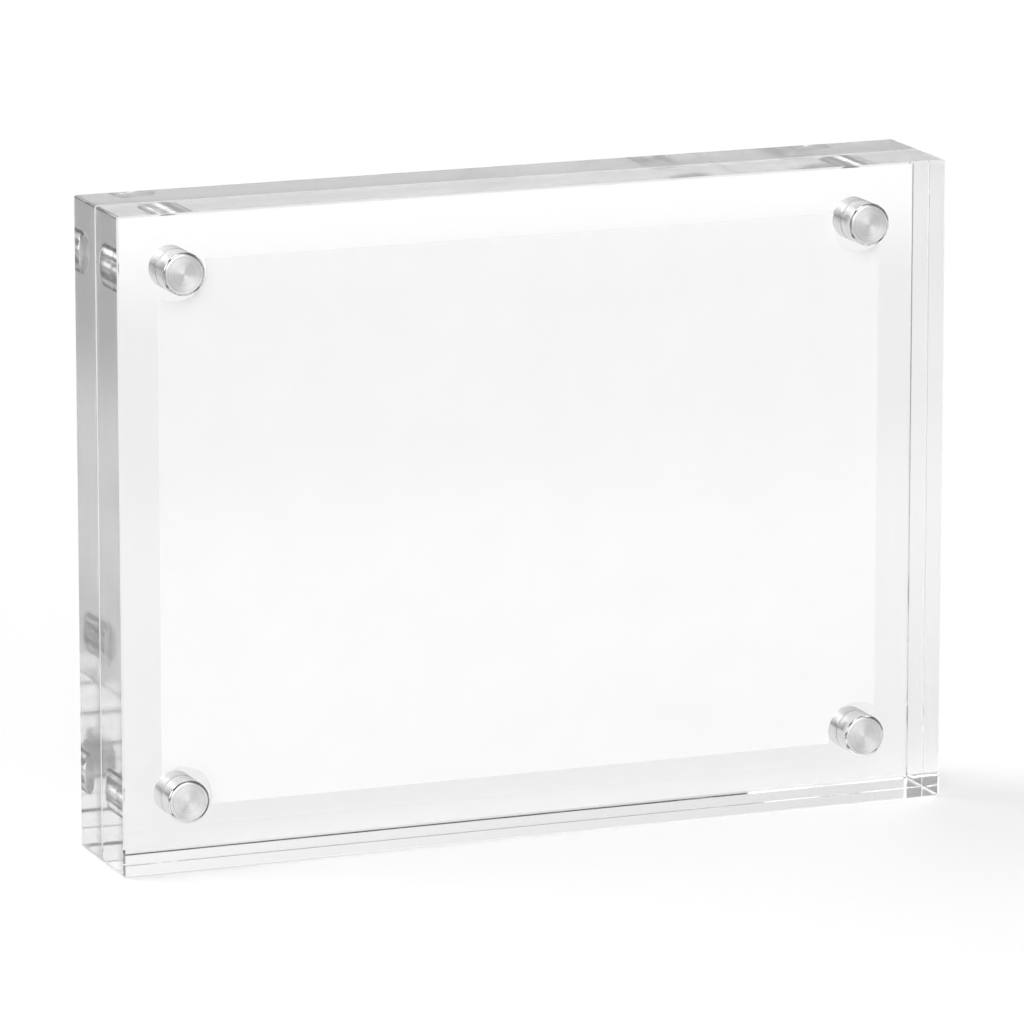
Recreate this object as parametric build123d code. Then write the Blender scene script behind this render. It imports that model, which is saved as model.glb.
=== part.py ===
from build123d import *
import os

# A clear block frame: two thick acrylic slabs stand face to face with a blank card between them,
# and magnets sunk in their mating faces hold them together at the four corners.
# Millimetres, +X to the right, +Y to the back, +Z up.
# The origin is under the middle of the frame, on the surface that it stands on.

# Acrylic slabs
block_width = 203.2
block_height = 152.4
block_thickness = 15.0
corner_radius = 0.6
outer_edge_chamfer = 0.4
mating_edge_chamfer = 0.1

# Card between the slabs
clear_margin = 12.7
card_thickness = 0.3

# Magnets, and where their axes lie in from the edges of the slabs
magnet_diameter = 10.0
magnet_length = 8.0
magnet_outer_chamfer = 0.35
magnet_mating_chamfer = 0.1
magnet_side_inset = 17.4
magnet_end_inset = 15.0

# Clearances
card_face_clearance = 0.05
card_notch_clearance = 0.6
magnet_side_clearance = 0.1
magnet_recess = 0.05

# Sizes that follow from those above
slab_gap = card_thickness + 2 * card_face_clearance
mating_face_y = slab_gap / 2
bore_radius = magnet_diameter / 2 + magnet_side_clearance
bore_depth = magnet_length + magnet_recess
bore_floor_y = -(mating_face_y + bore_depth)
notch_radius = magnet_diameter / 2 + card_notch_clearance
mid_height = block_height / 2
magnet_column_x = block_width / 2 - magnet_side_inset
magnet_row_z = block_height / 2 - magnet_end_inset

column_side = {"left": -1, "right": 1}
row_side = {"bottom": -1, "top": 1}
standing = (Align.CENTER, Align.CENTER, Align.MIN)


def magnet_axis(row, column):
    """Place in the XZ plane of the magnet pair in one corner."""
    return column_side[column] * magnet_column_x, mid_height + row_side[row] * magnet_row_z


def corners():
    """Row and column names of the four corners."""
    return [(row, column) for row in row_side for column in column_side]


def outward(row, column):
    """Alignment of a rectangle that spreads from a magnet's axis out past its corner."""
    x_align = Align.MAX if column == "left" else Align.MIN
    z_align = Align.MAX if row == "bottom" else Align.MIN
    return x_align, z_align


def laid_back(solid, x, y, z):
    """Solid made standing on the XY plane, laid so that its +Z end points to the back."""
    return Pos(x, y, z) * Rot(X=-90) * solid


def in_rear(solid):
    """The same solid on the other side of the joint between the slabs."""
    return mirror(solid, about=Plane.XZ)


def magnet():
    """Cylindrical magnet standing on its chamfered outer end; the edge of its mating end is only broken."""
    body = Cylinder(magnet_diameter / 2, magnet_length, align=standing)
    body = chamfer(body.edges().group_by(Axis.Z)[0], magnet_outer_chamfer)
    return chamfer(body.edges().group_by(Axis.Z)[-1], magnet_mating_chamfer)


def front_block():
    """Front slab: a rounded rectangle with chamfered rims and a blind bore in each corner."""
    front_face_y = -(mating_face_y + block_thickness)
    outline = Plane((0, front_face_y, mid_height), x_dir=(1, 0, 0), z_dir=(0, 1, 0))
    slab = extrude(outline * RectangleRounded(block_width, block_height, corner_radius), block_thickness)
    slab = chamfer(slab.faces().sort_by(Axis.Y)[0].edges(), outer_edge_chamfer)
    slab = chamfer(slab.faces().sort_by(Axis.Y)[-1].edges(), mating_edge_chamfer)
    bore = Cylinder(bore_radius, bore_depth, align=standing)
    for row, column in corners():
        x, z = magnet_axis(row, column)
        slab -= laid_back(bore, x, bore_floor_y, z)
    return slab


def front_magnet(row, column):
    """Magnet on the floor of its bore in the front slab, with its mating end just under the mating face."""
    x, z = magnet_axis(row, column)
    return laid_back(magnet(), x, bore_floor_y, z)


def display_card():
    """Blank card with scooped corners, which leave room for the magnets to face each other."""
    card_width = block_width - 2 * clear_margin
    card_height = block_height - 2 * clear_margin
    sheet = Rectangle(card_width, card_height)
    for row, column in corners():
        x = column_side[column] * magnet_column_x
        z = row_side[row] * magnet_row_z
        scoop = Pos(x, z) * Circle(notch_radius)
        way_out = Pos(x, z) * Rectangle(card_width, card_height, align=outward(row, column))
        sheet -= scoop + way_out
    upright = Plane((0, card_thickness / 2, mid_height), x_dir=(1, 0, 0), z_dir=(0, -1, 0))
    return extrude(upright * sheet, card_thickness)


def save(solid, node):
    """Write one piece under its own name."""
    export_step(solid, os.path.join("parts", node + ".step"))


os.makedirs("parts", exist_ok=True)
front = front_block()
save(front, "front_block")
save(in_rear(front), "rear_block")
save(display_card(), "display_card")
for row, column in corners():
    seated = front_magnet(row, column)
    save(seated, f"front_magnet_{row}_{column}")
    save(in_rear(seated), f"rear_magnet_{row}_{column}")
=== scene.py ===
"""Looks of a clear block frame: two polished acrylic slabs, turned magnets in their corners, a blank card."""
import math

import bmesh
import bpy
import numpy as np
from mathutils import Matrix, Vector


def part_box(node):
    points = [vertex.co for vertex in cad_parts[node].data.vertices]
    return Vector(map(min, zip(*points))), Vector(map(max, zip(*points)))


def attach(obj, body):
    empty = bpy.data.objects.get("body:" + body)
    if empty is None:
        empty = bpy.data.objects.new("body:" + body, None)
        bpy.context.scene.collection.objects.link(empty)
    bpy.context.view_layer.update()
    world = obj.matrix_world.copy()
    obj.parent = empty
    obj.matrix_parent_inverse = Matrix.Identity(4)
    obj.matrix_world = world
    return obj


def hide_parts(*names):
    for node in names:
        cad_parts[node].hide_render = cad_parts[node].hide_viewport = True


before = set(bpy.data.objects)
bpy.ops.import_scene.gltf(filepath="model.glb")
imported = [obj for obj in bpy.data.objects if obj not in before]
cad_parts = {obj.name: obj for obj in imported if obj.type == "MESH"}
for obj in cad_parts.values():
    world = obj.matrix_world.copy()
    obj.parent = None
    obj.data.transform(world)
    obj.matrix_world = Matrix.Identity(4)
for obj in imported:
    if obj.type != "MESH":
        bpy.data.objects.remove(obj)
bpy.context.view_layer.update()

# Corner and edge sizes of the acrylic, in metres
corner_radius = 0.0006
outer_edge_chamfer = 0.0004
mating_edge_chamfer = 0.0001

# Edges of the magnets, and the overlap by which the glued acrylic meets their metal, in metres
magnet_outer_round = 0.0007
magnet_mating_round = 0.0001
glue_overlap = 0.00002

# Scoops in the card's corners, wide enough to show the rear magnets past its edge, in metres
scoop_radius = 0.0072

# Fineness of the round surfaces, with the closest directions in radians
bore_steps = 144
corner_steps = 8
scoop_steps = 40
rim_steps = 12
face_steps = 8
closest_directions = 0.004

# Points that are one, or lie on the same line, are no further apart than this, in metres
merge_distance = 2e-7
same_line = 1e-9

# Faces: the angle at which an edge is sharp, and the share of a normal along Y on a side and on a flat face
sharp_angle = math.radians(25)
slab_normals = (0.1, 0.98)
magnet_normals = (0.01, 0.999)

# Marks: the middle range of the noise that they are drawn from
noise_middle = (0.3, 0.7)

# Acrylic: its index, what it takes from light on the way through, and the polishing marks on its walls
acrylic_index = 1.49
absorbed_per_metre = 1.8
absorbed_colour = (0.0, 0.0, 0.0, 1.0)
clear_colour = (0.986, 0.986, 0.986)
streak_colour = (0.937, 0.937, 0.937)
streaks_per_metre = (22.0, 900.0, 22.0)
streak_detail = 3.0
ripples_per_metre = (90.0, 500.0, 90.0)
ripple_detail = 1.0
streak_height = 0.000003
wall_haze = (0.04, 0.11)
chamfer_haze = 0.02

# Magnet metal: its turned lines and stains, and how smooth its side is between matt at 0 and polished at 1
metal_colours = ((0.66, 0.66, 0.66), (0.86, 0.86, 0.86))
millimetres_per_metre = 1000
lines_per_millimetre = (0.0, 2.2, 0.0)
line_detail = 5.0
stains_per_metre = (260.0, 260.0, 260.0)
stain_detail = 3.0
line_share = 0.7
line_height = 0.000008
line_roughness = (0.28, 0.20)
polished_roughness = 0.06
side_polish = 0.6
turned_stretch = 0.85
along_the_turning = 0.25

# Card: its mottle and the tooth of its fibres
card_colours = ((0.915, 0.914, 0.912), (0.945, 0.944, 0.942))
mottles_per_metre = (60.0, 60.0, 60.0)
mottle_detail = 2.0
fibres_per_metre = (2600.0, 2600.0, 1100.0)
fibre_detail = 3.0
mottle_share = 0.5
fibre_height = 0.00001
fibre_roughness = (0.70, 0.85)

# Camera, placed by the corners of the frame in the photograph
view_azimuth = math.radians(-21.516)
view_elevation = math.radians(12.4926)
view_distance = 1.8392
view_target = (-0.00085, 0.0, 0.0737853)
focal_pixels = 7947.64
image_pixels = 1024
sensor_width = 36.0
far_enough_to_see = 50

# Floor: size and drop in metres, grey, lift, and where the shade and light painted on it begin and end and
# how bright they are
floor_half_size = 6.0
floor_drop = 0.0003
floor_grey = 0.55
floor_lift = 0.53
camera_share = 0.96
# Painted shade on the floor far to the left: where it starts and ends along X, and how dark it gets
painted_side_shade = (-0.12, -0.40)
painted_side_shade_share = 0.55
# A strip of painted shade across the floor in front: where it fades in and out along Y, and how dark it gets
painted_shade_strip = ((-0.28, -0.45), (-0.62, -0.80))
painted_shade_strip_share = 0.60
# Painted shadow on the floor at the frame and behind it, fading out in front
shade_start = (-0.24, -0.02)
shade_share = 0.925
# Painted light on the floor where it meets the backdrop: where it starts along Y, and how bright it gets
backdrop_light_start = (0.58, 0.74)
backdrop_light_share = 1.04
# A band of painted light on the floor under the front slab: its edges along Y, and how bright it is
painted_light_band_edges = ((-0.0164, -0.0152), (-0.0010, 0.0002))
painted_light_band_share = 1.45

# Room: how bright it is to the front and back, and how far it falls off at the sides and towards the ceiling
front_to_back = (-0.2, 0.6)
front_level = 0.72
back_level = 1.30
left_wall = (-0.36, -0.22)
left_level = 0.20
right_wall = (-0.10, 0.90)
right_level = 0.20
ceiling_start = (0.35, 0.65)
ceiling_middle = (-0.2, 0.2)
ceiling_levels = (0.05, 0.12)

# Soft boxes: direction, cosines at the edge and the core, strength
front_softbox = ((-0.25, -0.80, 0.55), (0.60, 0.95), 1.84)
back_softbox = ((-0.62, 0.45, 0.64), (0.84, 0.96), 3.5)


def unit_mesh(name, vertices, faces):
    """New object at the origin from an array of points and a list of faces."""
    mesh = bpy.data.meshes.new(name)
    mesh.from_pydata(vertices.tolist(), [], faces)
    piece = bpy.data.objects.new(name, mesh)
    bpy.context.scene.collection.objects.link(piece)
    return piece


def close_and_smooth(piece):
    """Merges the seams, turns the faces outwards and smooths all but the sharp edges."""
    working = bmesh.new()
    working.from_mesh(piece.data)
    bmesh.ops.remove_doubles(working, verts=working.verts, dist=merge_distance)
    bmesh.ops.recalc_face_normals(working, faces=working.faces)
    working.to_mesh(piece.data)
    working.free()
    piece.data.polygons.foreach_set("use_smooth", np.ones(len(piece.data.polygons), dtype=bool))
    piece.data.set_sharp_from_angle(angle=sharp_angle)


def strips(rings, closed):
    """Quads between neighbouring rings of a grid whose rows follow each other in one array.

    Quad (i, j) joins points j and j + 1 of ring i to the same points of ring i + 1.
    """
    count = rings.shape[1]
    along = np.arange(count if closed else count - 1)
    across = (along + 1) % count
    ring = np.arange(rings.shape[0] - 1)[:, None] * count
    quads = np.stack([ring + along, ring + across, ring + count + across, ring + count + along], axis=-1)
    return quads.reshape(-1, 4)


def node_box(node):
    """Low and high corner of one node's box, as arrays."""
    return [np.array(corner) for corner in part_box(node)]


def axis_from_middle(magnet_node, middle):
    """Distances of a magnet's axis from the middle of the frame, along its width and its height."""
    low, high = node_box(magnet_node)
    return np.abs((low + high)[[0, 2]] / 2 - middle[[0, 2]])


def circle_points(turn):
    """Points of the unit circle at an array of angles."""
    return np.stack([np.cos(turn), np.sin(turn)], axis=-1)


def upright_ring(points, depth):
    """Points of the XZ plane at one depth along Y."""
    return np.stack([points[:, 0], np.full(len(points), depth), points[:, 1]], axis=-1)


def rounded_edge(radius, depth, size):
    """Quarter of a circle from the side of a cylinder to its flat end, as points of radius and depth."""
    bend = np.linspace(0, math.pi / 2, rim_steps + 1)
    return np.array([radius - size, depth - size]) + size * circle_points(bend)


def quarter_directions(axis, half, corner):
    """Directions from a magnet's axis: evenly spaced ones, and those to the ends and steps of the rim."""
    even = np.arange(bore_steps) * (2 * math.pi / bore_steps)
    arc = half - corner + corner * circle_points(np.linspace(0, math.pi / 2, corner_steps + 1))
    ends = np.array([[0, 0], [half[0], 0], [0, half[1]]])
    aims = np.concatenate([arc, ends]) - axis
    special = np.arctan2(aims[:, 1], aims[:, 0]) % (2 * math.pi)
    spacing = np.abs(np.angle(np.exp(1j * (even[:, None] - special)))).min(axis=1)
    return np.sort(np.concatenate([even[spacing > closest_directions], special]))


def quarter_rim(theta, axis, half, corner):
    """Points where rays from a magnet's axis meet the edge of its quarter of the face, with outward normals.

    The quarter runs from the middle lines to the outer edges. A ray stops at the nearest side, or, in the
    rounded corner, at the arc, found from the quadratic for a point at one radius from the arc's centre.
    Points on the two middle lines have no outward normal.
    """
    ray = circle_points(theta)
    with np.errstate(divide="ignore", invalid="ignore"):
        reach = np.where(ray > 0, (half - axis) / ray, np.where(ray < 0, -axis / ray, np.inf))
    straight = axis + ray * reach.min(axis=1)[:, None]
    centre = half - corner
    from_centre = axis - centre
    along = (ray * from_centre).sum(axis=1)
    inside = np.maximum(along ** 2 - (from_centre ** 2).sum() + corner ** 2, 0)
    curved = axis + ray * (np.sqrt(inside) - along)[:, None]
    in_corner = (straight > centre - same_line).all(axis=1)
    points = np.where(in_corner[:, None], curved, straight)
    normals = np.where(in_corner[:, None], (curved - centre) / corner, np.abs(points - half) < same_line)
    return points, normals


def slab(name, node, magnet_node, facing):
    """One acrylic slab with four blind bores, built as a quarter and its three mirror images.

    In the quarter, the mating face is ruled from the mouth of the bore to the edges of the quarter, the bore
    is its half section turned about the magnet's axis, the wall is the outer edge carried back with an inset
    at each chamfer, and the outer face closes the last of those edges. facing is -1 for the front slab, whose
    outer face looks towards -Y, and 1 for the rear one. The bore is a hair smaller than the magnet, as where
    glue leaves no air between acrylic and metal.
    """
    low, high = node_box(node)
    magnet_low, magnet_high = node_box(magnet_node)
    middle = (low + high) / 2
    thickness = high[1] - low[1]
    mating_y = high[1] if facing < 0 else low[1]
    magnet_axis = axis_from_middle(magnet_node, middle)
    bore_radius = (magnet_high[0] - magnet_low[0]) / 2 - glue_overlap
    bore_depth = max(abs(magnet_low[1] - mating_y), abs(magnet_high[1] - mating_y)) - glue_overlap

    half = (high - low)[[0, 2]] / 2 - mating_edge_chamfer
    corner = corner_radius - mating_edge_chamfer
    theta = quarter_directions(magnet_axis, half, corner)
    rim, normals = quarter_rim(theta, magnet_axis, half, corner)
    last_ring_radius = bore_radius / 1000
    bore_section = np.concatenate([
        [(bore_radius, 0.0), (bore_radius, bore_depth / 2)],
        rounded_edge(bore_radius, bore_depth, magnet_outer_round - glue_overlap),
        [(bore_radius / 2, bore_depth), (last_ring_radius, bore_depth)],
    ])
    ray = circle_points(theta)
    bore_rings = [upright_ring(magnet_axis + radius * ray, depth) for radius, depth in bore_section]
    face_rings = np.stack([upright_ring(rim, 0.0)] + bore_rings)

    on_edge = normals.any(axis=1)
    first = np.argmax(on_edge & ~np.roll(on_edge, 1))
    order = (first + np.arange(on_edge.sum())) % len(theta)
    wall_section = [
        (0.0, 0.0),
        (mating_edge_chamfer, mating_edge_chamfer),
        (mating_edge_chamfer, thickness - outer_edge_chamfer),
        (mating_edge_chamfer - outer_edge_chamfer, thickness),
    ]
    edge, outwards = rim[order], normals[order]
    wall_rings = np.stack([upright_ring(edge + out * outwards, depth) for out, depth in wall_section])
    outer_face = np.concatenate([[[0.0, thickness, 0.0]], wall_rings[-1]])

    points = np.concatenate([face_rings.reshape(-1, 3), wall_rings.reshape(-1, 3), outer_face])
    wall_start = face_rings.shape[0] * face_rings.shape[1]
    outer_start = wall_start + wall_rings.shape[0] * wall_rings.shape[1]
    bore_floor = (wall_start - len(theta) + np.arange(len(theta))).tolist()
    faces = strips(face_rings, True).tolist()
    faces += (wall_start + strips(wall_rings, False)).tolist()
    faces += [bore_floor, (outer_start + np.arange(len(outer_face))).tolist()]

    quarters, all_faces = [], []
    for side_x in (-1, 1):
        for side_z in (-1, 1):
            start = len(quarters) * len(points)
            quarters.append(points * (side_x, facing, side_z) + (middle[0], mating_y, middle[2]))
            all_faces += [[start + vertex for vertex in face] for face in faces]
    piece = unit_mesh(name, np.concatenate(quarters), all_faces)
    close_and_smooth(piece)
    mark_walls(piece)
    return piece


def turned_magnet(name, node, facing):
    """Magnet as a half section turned about its own axis, which lies along Y.

    The section runs out over the outer end, along the side and back over the mating end, whose edge is
    sharper. The map's first coordinate is the turn about the axis, and its second the way along the section
    in millimetres.
    """
    low, high = node_box(node)
    centre = (low + high) / 2
    radius = (high[0] - low[0]) / 2
    half_length = (high[1] - low[1]) / 2

    def end(size):
        """Half section of one end, from its centre to its edge."""
        edge = rounded_edge(radius, half_length, size)[::-1]
        out = np.linspace(0.0, edge[0, 0], face_steps, endpoint=False)
        return np.concatenate([np.stack([out, np.full(face_steps, half_length)], axis=-1), edge])

    mating_end = end(magnet_mating_round)[::-1] * (1, -1)
    section = np.concatenate([end(magnet_outer_round), mating_end]) * (1, facing)
    out, along = section[:, :1], section[:, 1:]
    steps = np.hypot(*np.diff(section, axis=0).T)
    way = np.concatenate([[0.0], np.cumsum(steps)]) * millimetres_per_metre
    turn = np.linspace(0, 2 * math.pi, bore_steps + 1)
    grid = np.stack([
        centre[0] + out * np.cos(turn),
        np.broadcast_to(centre[1] + along, (len(section), len(turn))),
        centre[2] + out * np.sin(turn),
    ], axis=-1)
    quads = strips(grid, False)
    piece = unit_mesh(name, grid.reshape(-1, 3), quads.tolist())
    turning_map = np.stack(np.broadcast_arrays(turn / (2 * math.pi), way[:, None]), axis=-1).reshape(-1, 2)
    turning = piece.data.uv_layers.new(name="turning")
    turning.data.foreach_set("uv", turning_map[quads.reshape(-1)].astype(np.float32).reshape(-1))
    close_and_smooth(piece)
    mark_polish(piece)
    return piece


def scooped_card(name, node, magnet_node):
    """Card as its outline carried through its thickness, with an arc round a magnet's axis at each corner.

    In one quarter the arc runs from the long edge to the short edge, at each of which the angle follows from
    the edge's distance to the axis. The other quarters are its mirror images, taken in turn round the card.
    """
    low, high = node_box(node)
    middle = (low + high) / 2
    axis = axis_from_middle(magnet_node, middle)
    past_axis = (high - low)[[0, 2]] / 2 - axis
    start = math.pi - math.asin(past_axis[1] / scoop_radius)
    end = 2 * math.pi - math.acos(past_axis[0] / scoop_radius)
    arc = axis + scoop_radius * circle_points(np.linspace(start, end, scoop_steps + 1))
    outline = np.concatenate([arc, arc[::-1] * (1, -1), arc * (-1, -1), arc[::-1] * (-1, 1)]) + middle[[0, 2]]
    count = len(outline)
    sides = np.stack([upright_ring(outline, depth) for depth in (low[1], high[1])])
    faces = strips(sides, True).tolist() + [list(range(count)), list(range(count, 2 * count))]
    piece = unit_mesh(name, sides.reshape(-1, 3), faces)
    close_and_smooth(piece)
    return piece


def normals_along_y(piece):
    """How much of each face's normal lies along Y, from 0 to 1."""
    normals = np.empty(len(piece.data.polygons) * 3, dtype=np.float32)
    piece.data.polygons.foreach_get("normal", normals)
    return np.abs(normals.reshape(-1, 3)[:, 1])


def mark_faces(piece, name, values):
    """Attribute that gives each face a number."""
    layer = piece.data.attributes.new(name, "FLOAT", "FACE")
    layer.data.foreach_set("value", values.astype(np.float32))


def mark_walls(piece):
    """Attributes that tell the cut and polished walls of a slab, and their chamfers, from the cast faces.

    A wall's normal has no part along the slab's thickness, a cast face's has all of it, a chamfer's some.
    """
    wall, cast_face = slab_normals
    along_thickness = normals_along_y(piece)
    mark_faces(piece, "cut_wall", along_thickness < wall)
    mark_faces(piece, "chamfer", (along_thickness >= wall) & (along_thickness < cast_face))


def mark_polish(piece):
    """Attribute that tells how smooth a magnet is, from its matt flat ends over its side to its edges.

    The normal of a flat end has all of its length along the magnet's axis, and that of the side none.
    """
    side, flat_end = magnet_normals
    along_axis = normals_along_y(piece)
    polish = np.where(along_axis > flat_end, 0.0, np.where(along_axis < side, side_polish, 1.0))
    mark_faces(piece, "polish", polish)


def join(tree, value, socket):
    """Links an output to a socket, or sets the socket to a plain number or vector."""
    if isinstance(value, bpy.types.NodeSocket):
        tree.links.new(value, socket)
    else:
        socket.default_value = value


def calculate(tree, operation, first, second=0.0):
    """Math node on two outputs or numbers."""
    node = tree.nodes.new("ShaderNodeMath")
    node.operation = operation
    join(tree, first, node.inputs[0])
    join(tree, second, node.inputs[1])
    return node.outputs[0]


def times(tree, first, second):
    """Product of two outputs or numbers."""
    return calculate(tree, "MULTIPLY", first, second)


def shared(tree, first, second, share):
    """Sum of two masks, the first by its share and the second by the rest."""
    return calculate(tree, "ADD", times(tree, first, share), times(tree, second, 1 - share))


def spread(tree, value, start, end, low, high, smooth=True):
    """Map Range node that takes start..end to low..high and holds the ends."""
    node = tree.nodes.new("ShaderNodeMapRange")
    node.interpolation_type = "SMOOTHSTEP" if smooth else "LINEAR"
    join(tree, value, node.inputs["Value"])
    for socket, number in zip(("From Min", "From Max", "To Min", "To Max"), (start, end, low, high)):
        join(tree, number, node.inputs[socket])
    return node.outputs["Result"]


def between(tree, mask, low, high):
    """Number between two, by a mask from 0 to 1."""
    return spread(tree, mask, 0.0, 1.0, low, high, smooth=False)


def attribute(tree, name):
    """Value of one of the piece's own attributes."""
    node = tree.nodes.new("ShaderNodeAttribute")
    node.attribute_name = name
    return node.outputs["Fac"]


def own_place(tree):
    """Place on the piece itself, in metres."""
    return tree.nodes.new("ShaderNodeTexCoord").outputs["Object"]


def apart(tree, vector):
    """Outputs for the X, Y and Z of a vector."""
    node = tree.nodes.new("ShaderNodeSeparateXYZ")
    join(tree, vector, node.inputs["Vector"])
    return node.outputs


def stretched_marks():
    """Node group: noise drawn out along one direction, as a mask from 0 to 1.

    The place is multiplied by the stretch, in marks per unit, before the noise is read, and the noise's
    middle range is widened to the whole of 0 to 1.
    """
    group = bpy.data.node_groups.new("stretched_marks", "ShaderNodeTree")
    inputs = {"Place": "NodeSocketVector", "Stretch": "NodeSocketVector", "Detail": "NodeSocketFloat"}
    for name, kind in inputs.items():
        group.interface.new_socket(name, in_out="INPUT", socket_type=kind)
    group.interface.new_socket("Mask", in_out="OUTPUT", socket_type="NodeSocketFloat")
    entry = group.nodes.new("NodeGroupInput")
    leave = group.nodes.new("NodeGroupOutput")
    scaled = group.nodes.new("ShaderNodeVectorMath")
    scaled.operation = "MULTIPLY"
    join(group, entry.outputs["Place"], scaled.inputs[0])
    join(group, entry.outputs["Stretch"], scaled.inputs[1])
    noise = group.nodes.new("ShaderNodeTexNoise")
    noise.inputs["Scale"].default_value = 1.0
    join(group, scaled.outputs["Vector"], noise.inputs["Vector"])
    join(group, entry.outputs["Detail"], noise.inputs["Detail"])
    widened = spread(group, noise.outputs["Fac"], *noise_middle, 0.0, 1.0, smooth=False)
    join(group, widened, leave.inputs["Mask"])
    return group


marks_group = stretched_marks()


def marks(tree, place, stretch, detail):
    """Mask of stretched marks in one material."""
    node = tree.nodes.new("ShaderNodeGroup")
    node.node_tree = marks_group
    join(tree, place, node.inputs["Place"])
    join(tree, stretch, node.inputs["Stretch"])
    join(tree, detail, node.inputs["Detail"])
    return node.outputs["Mask"]


def bump(tree, height, metres):
    """Normal of a surface raised by a mask times a distance."""
    node = tree.nodes.new("ShaderNodeBump")
    node.inputs["Distance"].default_value = metres
    join(tree, height, node.inputs["Height"])
    return node.outputs["Normal"]


def blend_colours(tree, factor, first, second):
    """Colour between two, by a mask."""
    node = tree.nodes.new("ShaderNodeMix")
    node.data_type = "RGBA"
    join(tree, factor, node.inputs[0])
    join(tree, (*first, 1.0), node.inputs[6])
    join(tree, (*second, 1.0), node.inputs[7])
    return node.outputs[2]


def material(name):
    """New node material without a surface, its tree and its output."""
    made = bpy.data.materials.new(name)
    made.use_nodes = True
    tree = made.node_tree
    tree.nodes.clear()
    return made, tree, tree.nodes.new("ShaderNodeOutputMaterial")


def principled(tree, output):
    """Principled surface of a material."""
    surface = tree.nodes.new("ShaderNodeBsdfPrincipled")
    tree.links.new(surface.outputs["BSDF"], output.inputs["Surface"])
    return surface


def acrylic_material():
    """Clear acrylic: glassy cast faces, cut walls with the haze and streaks of polishing, and broken edges.

    The way through it darkens what is seen through a wall and along a slab.
    """
    made, tree, output = material("clear_acrylic")
    surface = principled(tree, output)
    place = own_place(tree)
    streaks = marks(tree, place, streaks_per_metre, streak_detail)
    ripples = marks(tree, place, ripples_per_metre, ripple_detail)
    wall = attribute(tree, "cut_wall")
    colour = blend_colours(tree, times(tree, streaks, wall), clear_colour, streak_colour)
    join(tree, colour, surface.inputs["Base Color"])
    surface.inputs["IOR"].default_value = acrylic_index
    surface.inputs["Transmission Weight"].default_value = 1.0
    haze = times(tree, wall, between(tree, streaks, *wall_haze))
    edge_haze = times(tree, attribute(tree, "chamfer"), chamfer_haze)
    join(tree, calculate(tree, "ADD", haze, edge_haze), surface.inputs["Roughness"])
    raised = times(tree, calculate(tree, "ADD", streaks, ripples), wall)
    join(tree, bump(tree, raised, streak_height), surface.inputs["Normal"])
    inside = tree.nodes.new("ShaderNodeVolumeAbsorption")
    inside.inputs["Color"].default_value = absorbed_colour
    inside.inputs["Density"].default_value = absorbed_per_metre
    tree.links.new(inside.outputs["Volume"], output.inputs["Volume"])
    return made


def magnet_material():
    """Bright plated metal with fine turned lines, most on the flat ends and none on the smooth edges."""
    made, tree, output = material("magnet_metal")
    surface = principled(tree, output)
    turning = tree.nodes.new("ShaderNodeUVMap")
    turning.uv_map = "turning"
    lines = marks(tree, turning.outputs["UV"], lines_per_millimetre, line_detail)
    stains = marks(tree, own_place(tree), stains_per_metre, stain_detail)
    colour = blend_colours(tree, shared(tree, lines, stains, line_share), *metal_colours)
    join(tree, colour, surface.inputs["Base Color"])
    surface.inputs["Metallic"].default_value = 1.0
    matt = calculate(tree, "SUBTRACT", 1.0, attribute(tree, "polish"))
    roughness = times(tree, matt, between(tree, lines, *line_roughness))
    join(tree, calculate(tree, "ADD", roughness, polished_roughness), surface.inputs["Roughness"])
    surface.inputs["Anisotropic"].default_value = turned_stretch
    surface.inputs["Anisotropic Rotation"].default_value = along_the_turning
    tangent = tree.nodes.new("ShaderNodeTangent")
    tangent.direction_type = "UV_MAP"
    tangent.uv_map = "turning"
    join(tree, tangent.outputs["Tangent"], surface.inputs["Tangent"])
    join(tree, bump(tree, times(tree, lines, matt), line_height), surface.inputs["Normal"])
    return made


def card_material():
    """Matt white card with a faint mottle and the tooth of its fibres."""
    made, tree, output = material("white_card")
    surface = principled(tree, output)
    place = own_place(tree)
    mottle = marks(tree, place, mottles_per_metre, mottle_detail)
    fibres = marks(tree, place, fibres_per_metre, fibre_detail)
    colour = blend_colours(tree, shared(tree, mottle, fibres, mottle_share), *card_colours)
    join(tree, colour, surface.inputs["Base Color"])
    join(tree, between(tree, fibres, *fibre_roughness), surface.inputs["Roughness"])
    join(tree, bump(tree, fibres, fibre_height), surface.inputs["Normal"])
    return made


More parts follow.
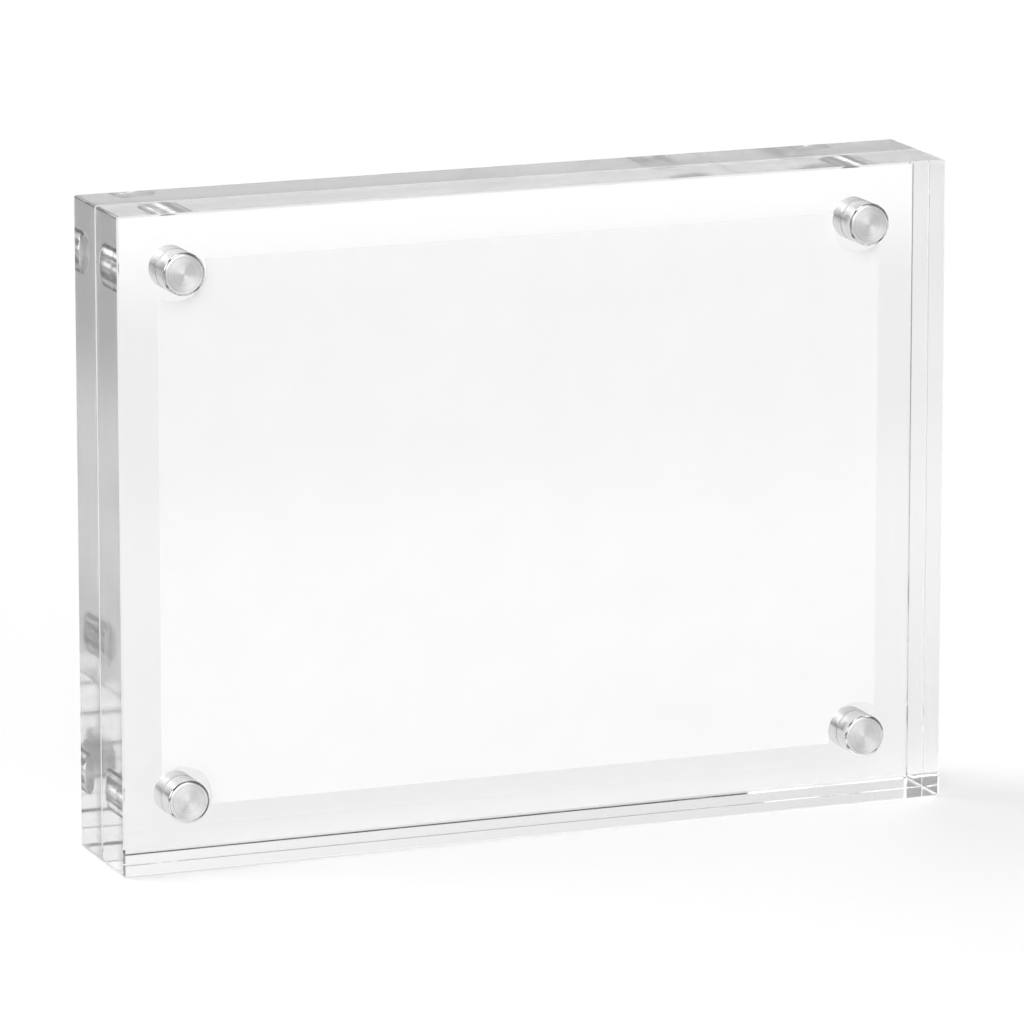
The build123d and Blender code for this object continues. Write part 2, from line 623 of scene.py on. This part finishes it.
def floor_material():
    """Pale floor that is white to the camera, apart from the object's shadow.

    Metal and glass see it lifted as well. All but the camera see the shade and light painted on it:
    painted shade far to the left, a strip of painted shade across it in front, painted shade from a
    little before the frame backwards, painted light where it meets the backdrop, and a band of painted
    light under the front slab.
    """
    made, tree, output = material("studio_floor")
    place = apart(tree, own_place(tree))
    # Painted shade on the floor far to the left
    side = spread(tree, place["X"], *painted_side_shade, 1.0, painted_side_shade_share)
    # Strip of painted shade across the floor in front
    strip = spread(tree, place["Y"], *painted_shade_strip[0], 1.0, painted_shade_strip_share)
    strip = spread(tree, place["Y"], *painted_shade_strip[1], strip, 1.0)
    # Painted shadow on the floor at the frame and behind it
    shade = spread(tree, place["Y"], *shade_start, 1.0, shade_share)
    # Painted light on the floor towards the backdrop
    behind = spread(tree, place["Y"], *backdrop_light_start, shade, backdrop_light_share)
    # Band of painted light on the floor under the front slab
    painted_light_band = spread(tree, place["Y"], *painted_light_band_edges[0], behind, painted_light_band_share)
    painted_light_band = spread(tree, place["Y"], *painted_light_band_edges[1], painted_light_band, behind)
    # All the shade and light painted on the floor, together
    shades = times(tree, times(tree, side, strip), painted_light_band)
    path = tree.nodes.new("ShaderNodeLightPath")
    to_camera = path.outputs["Is Camera Ray"]
    seen = calculate(tree, "MAXIMUM", to_camera, path.outputs["Is Glossy Ray"])
    seen = calculate(tree, "MAXIMUM", seen, path.outputs["Is Transmission Ray"])
    level = between(tree, to_camera, shades, camera_share)
    grey = tree.nodes.new("ShaderNodeCombineColor")
    for channel in grey.inputs:
        join(tree, times(tree, level, floor_grey), channel)
    matt = tree.nodes.new("ShaderNodeBsdfDiffuse")
    join(tree, grey.outputs["Color"], matt.inputs["Color"])
    glow = tree.nodes.new("ShaderNodeEmission")
    join(tree, times(tree, times(tree, seen, floor_lift), level), glow.inputs["Strength"])
    both = tree.nodes.new("ShaderNodeAddShader")
    tree.links.new(matt.outputs["BSDF"], both.inputs[0])
    tree.links.new(glow.outputs["Emission"], both.inputs[1])
    tree.links.new(both.outputs["Shader"], output.inputs["Surface"])
    return made


def softbox_light(tree, direction, towards, edge, strength):
    """Round patch of light in the room, from the cosine between a direction and the patch's own."""
    cosine = tree.nodes.new("ShaderNodeVectorMath")
    cosine.operation = "DOT_PRODUCT"
    join(tree, direction, cosine.inputs[0])
    join(tree, tuple(np.array(towards) / np.linalg.norm(towards)), cosine.inputs[1])
    return spread(tree, cosine.outputs["Value"], *edge, 0.0, strength)


def studio_light():
    """White room to the camera; to the rest, a dark ceiling, dim walls and a soft box before and behind."""
    world = bpy.data.worlds.new("studio_light")
    bpy.context.scene.world = world
    world.use_nodes = True
    tree = world.node_tree
    background = tree.nodes["Background"]
    background.inputs["Color"].default_value = (1.0, 1.0, 1.0, 1.0)
    direction = tree.nodes.new("ShaderNodeTexCoord").outputs["Generated"]
    way = apart(tree, direction)
    room = spread(tree, way["Y"], *front_to_back, front_level, back_level)
    room = times(tree, room, spread(tree, way["X"], *left_wall, left_level, 1.0))
    room = times(tree, room, spread(tree, way["X"], *right_wall, 1.0, right_level))
    ceiling = spread(tree, way["Y"], *ceiling_middle, *ceiling_levels)
    room = times(tree, room, spread(tree, way["Z"], *ceiling_start, 1.0, ceiling))
    for softbox in (front_softbox, back_softbox):
        room = calculate(tree, "ADD", room, softbox_light(tree, direction, *softbox))
    to_camera = tree.nodes.new("ShaderNodeLightPath").outputs["Is Camera Ray"]
    join(tree, between(tree, to_camera, room, 1.0), background.inputs["Strength"])


def studio():
    """Floor that carries the frame, and the light round it."""
    corners = np.array([[-1, -1], [1, -1], [1, 1], [-1, 1]]) * floor_half_size
    floor = unit_mesh("studio_floor", np.column_stack([corners, np.full(4, -floor_drop)]), [[0, 1, 2, 3]])
    floor.data.materials.append(floor_material())
    studio_light()


def camera():
    """Camera at the photograph's viewing angle, looking from an azimuth and elevation towards a point."""
    back = np.array([
        math.sin(view_azimuth) * math.cos(view_elevation),
        -math.cos(view_azimuth) * math.cos(view_elevation),
        math.sin(view_elevation),
    ])
    data = bpy.data.cameras.new("photo_camera")
    data.sensor_width = sensor_width
    data.lens = focal_pixels * sensor_width / image_pixels
    data.clip_end = far_enough_to_see
    eye = bpy.data.objects.new("photo_camera", data)
    eye.location = np.array(view_target) + back * view_distance
    eye.rotation_euler = (math.pi / 2 - view_elevation, 0, view_azimuth)
    bpy.context.scene.collection.objects.link(eye)
    bpy.context.scene.camera = eye


# Slabs with their magnets, and the card
clear = acrylic_material()
metal = magnet_material()
for side, facing in (("front", -1), ("rear", 1)):
    block = slab(f"{side}_slab", f"{side}_block", f"{side}_magnet_top_left", facing)
    block.data.materials.append(clear)
    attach(block, side)
    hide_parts(f"{side}_block")
    for row in ("top", "bottom"):
        for column in ("left", "right"):
            node = f"{side}_magnet_{row}_{column}"
            peg = turned_magnet(f"{node}_turned", node, facing)
            peg.data.materials.append(metal)
            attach(peg, side)
            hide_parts(node)

card = scooped_card("scooped_card", "display_card", "front_magnet_top_left")
card.data.materials.append(card_material())
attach(card, "card")
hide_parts("display_card")

# Studio, with light paths long enough for the reflections inside the acrylic
studio()
camera()
scene = bpy.context.scene
scene.view_settings.view_transform = "Standard"
scene.cycles.blur_glossy = 0.0
scene.cycles.max_bounces = 48
scene.cycles.glossy_bounces = 40
scene.cycles.transmission_bounces = 40
scene.cycles.diffuse_bounces = 6
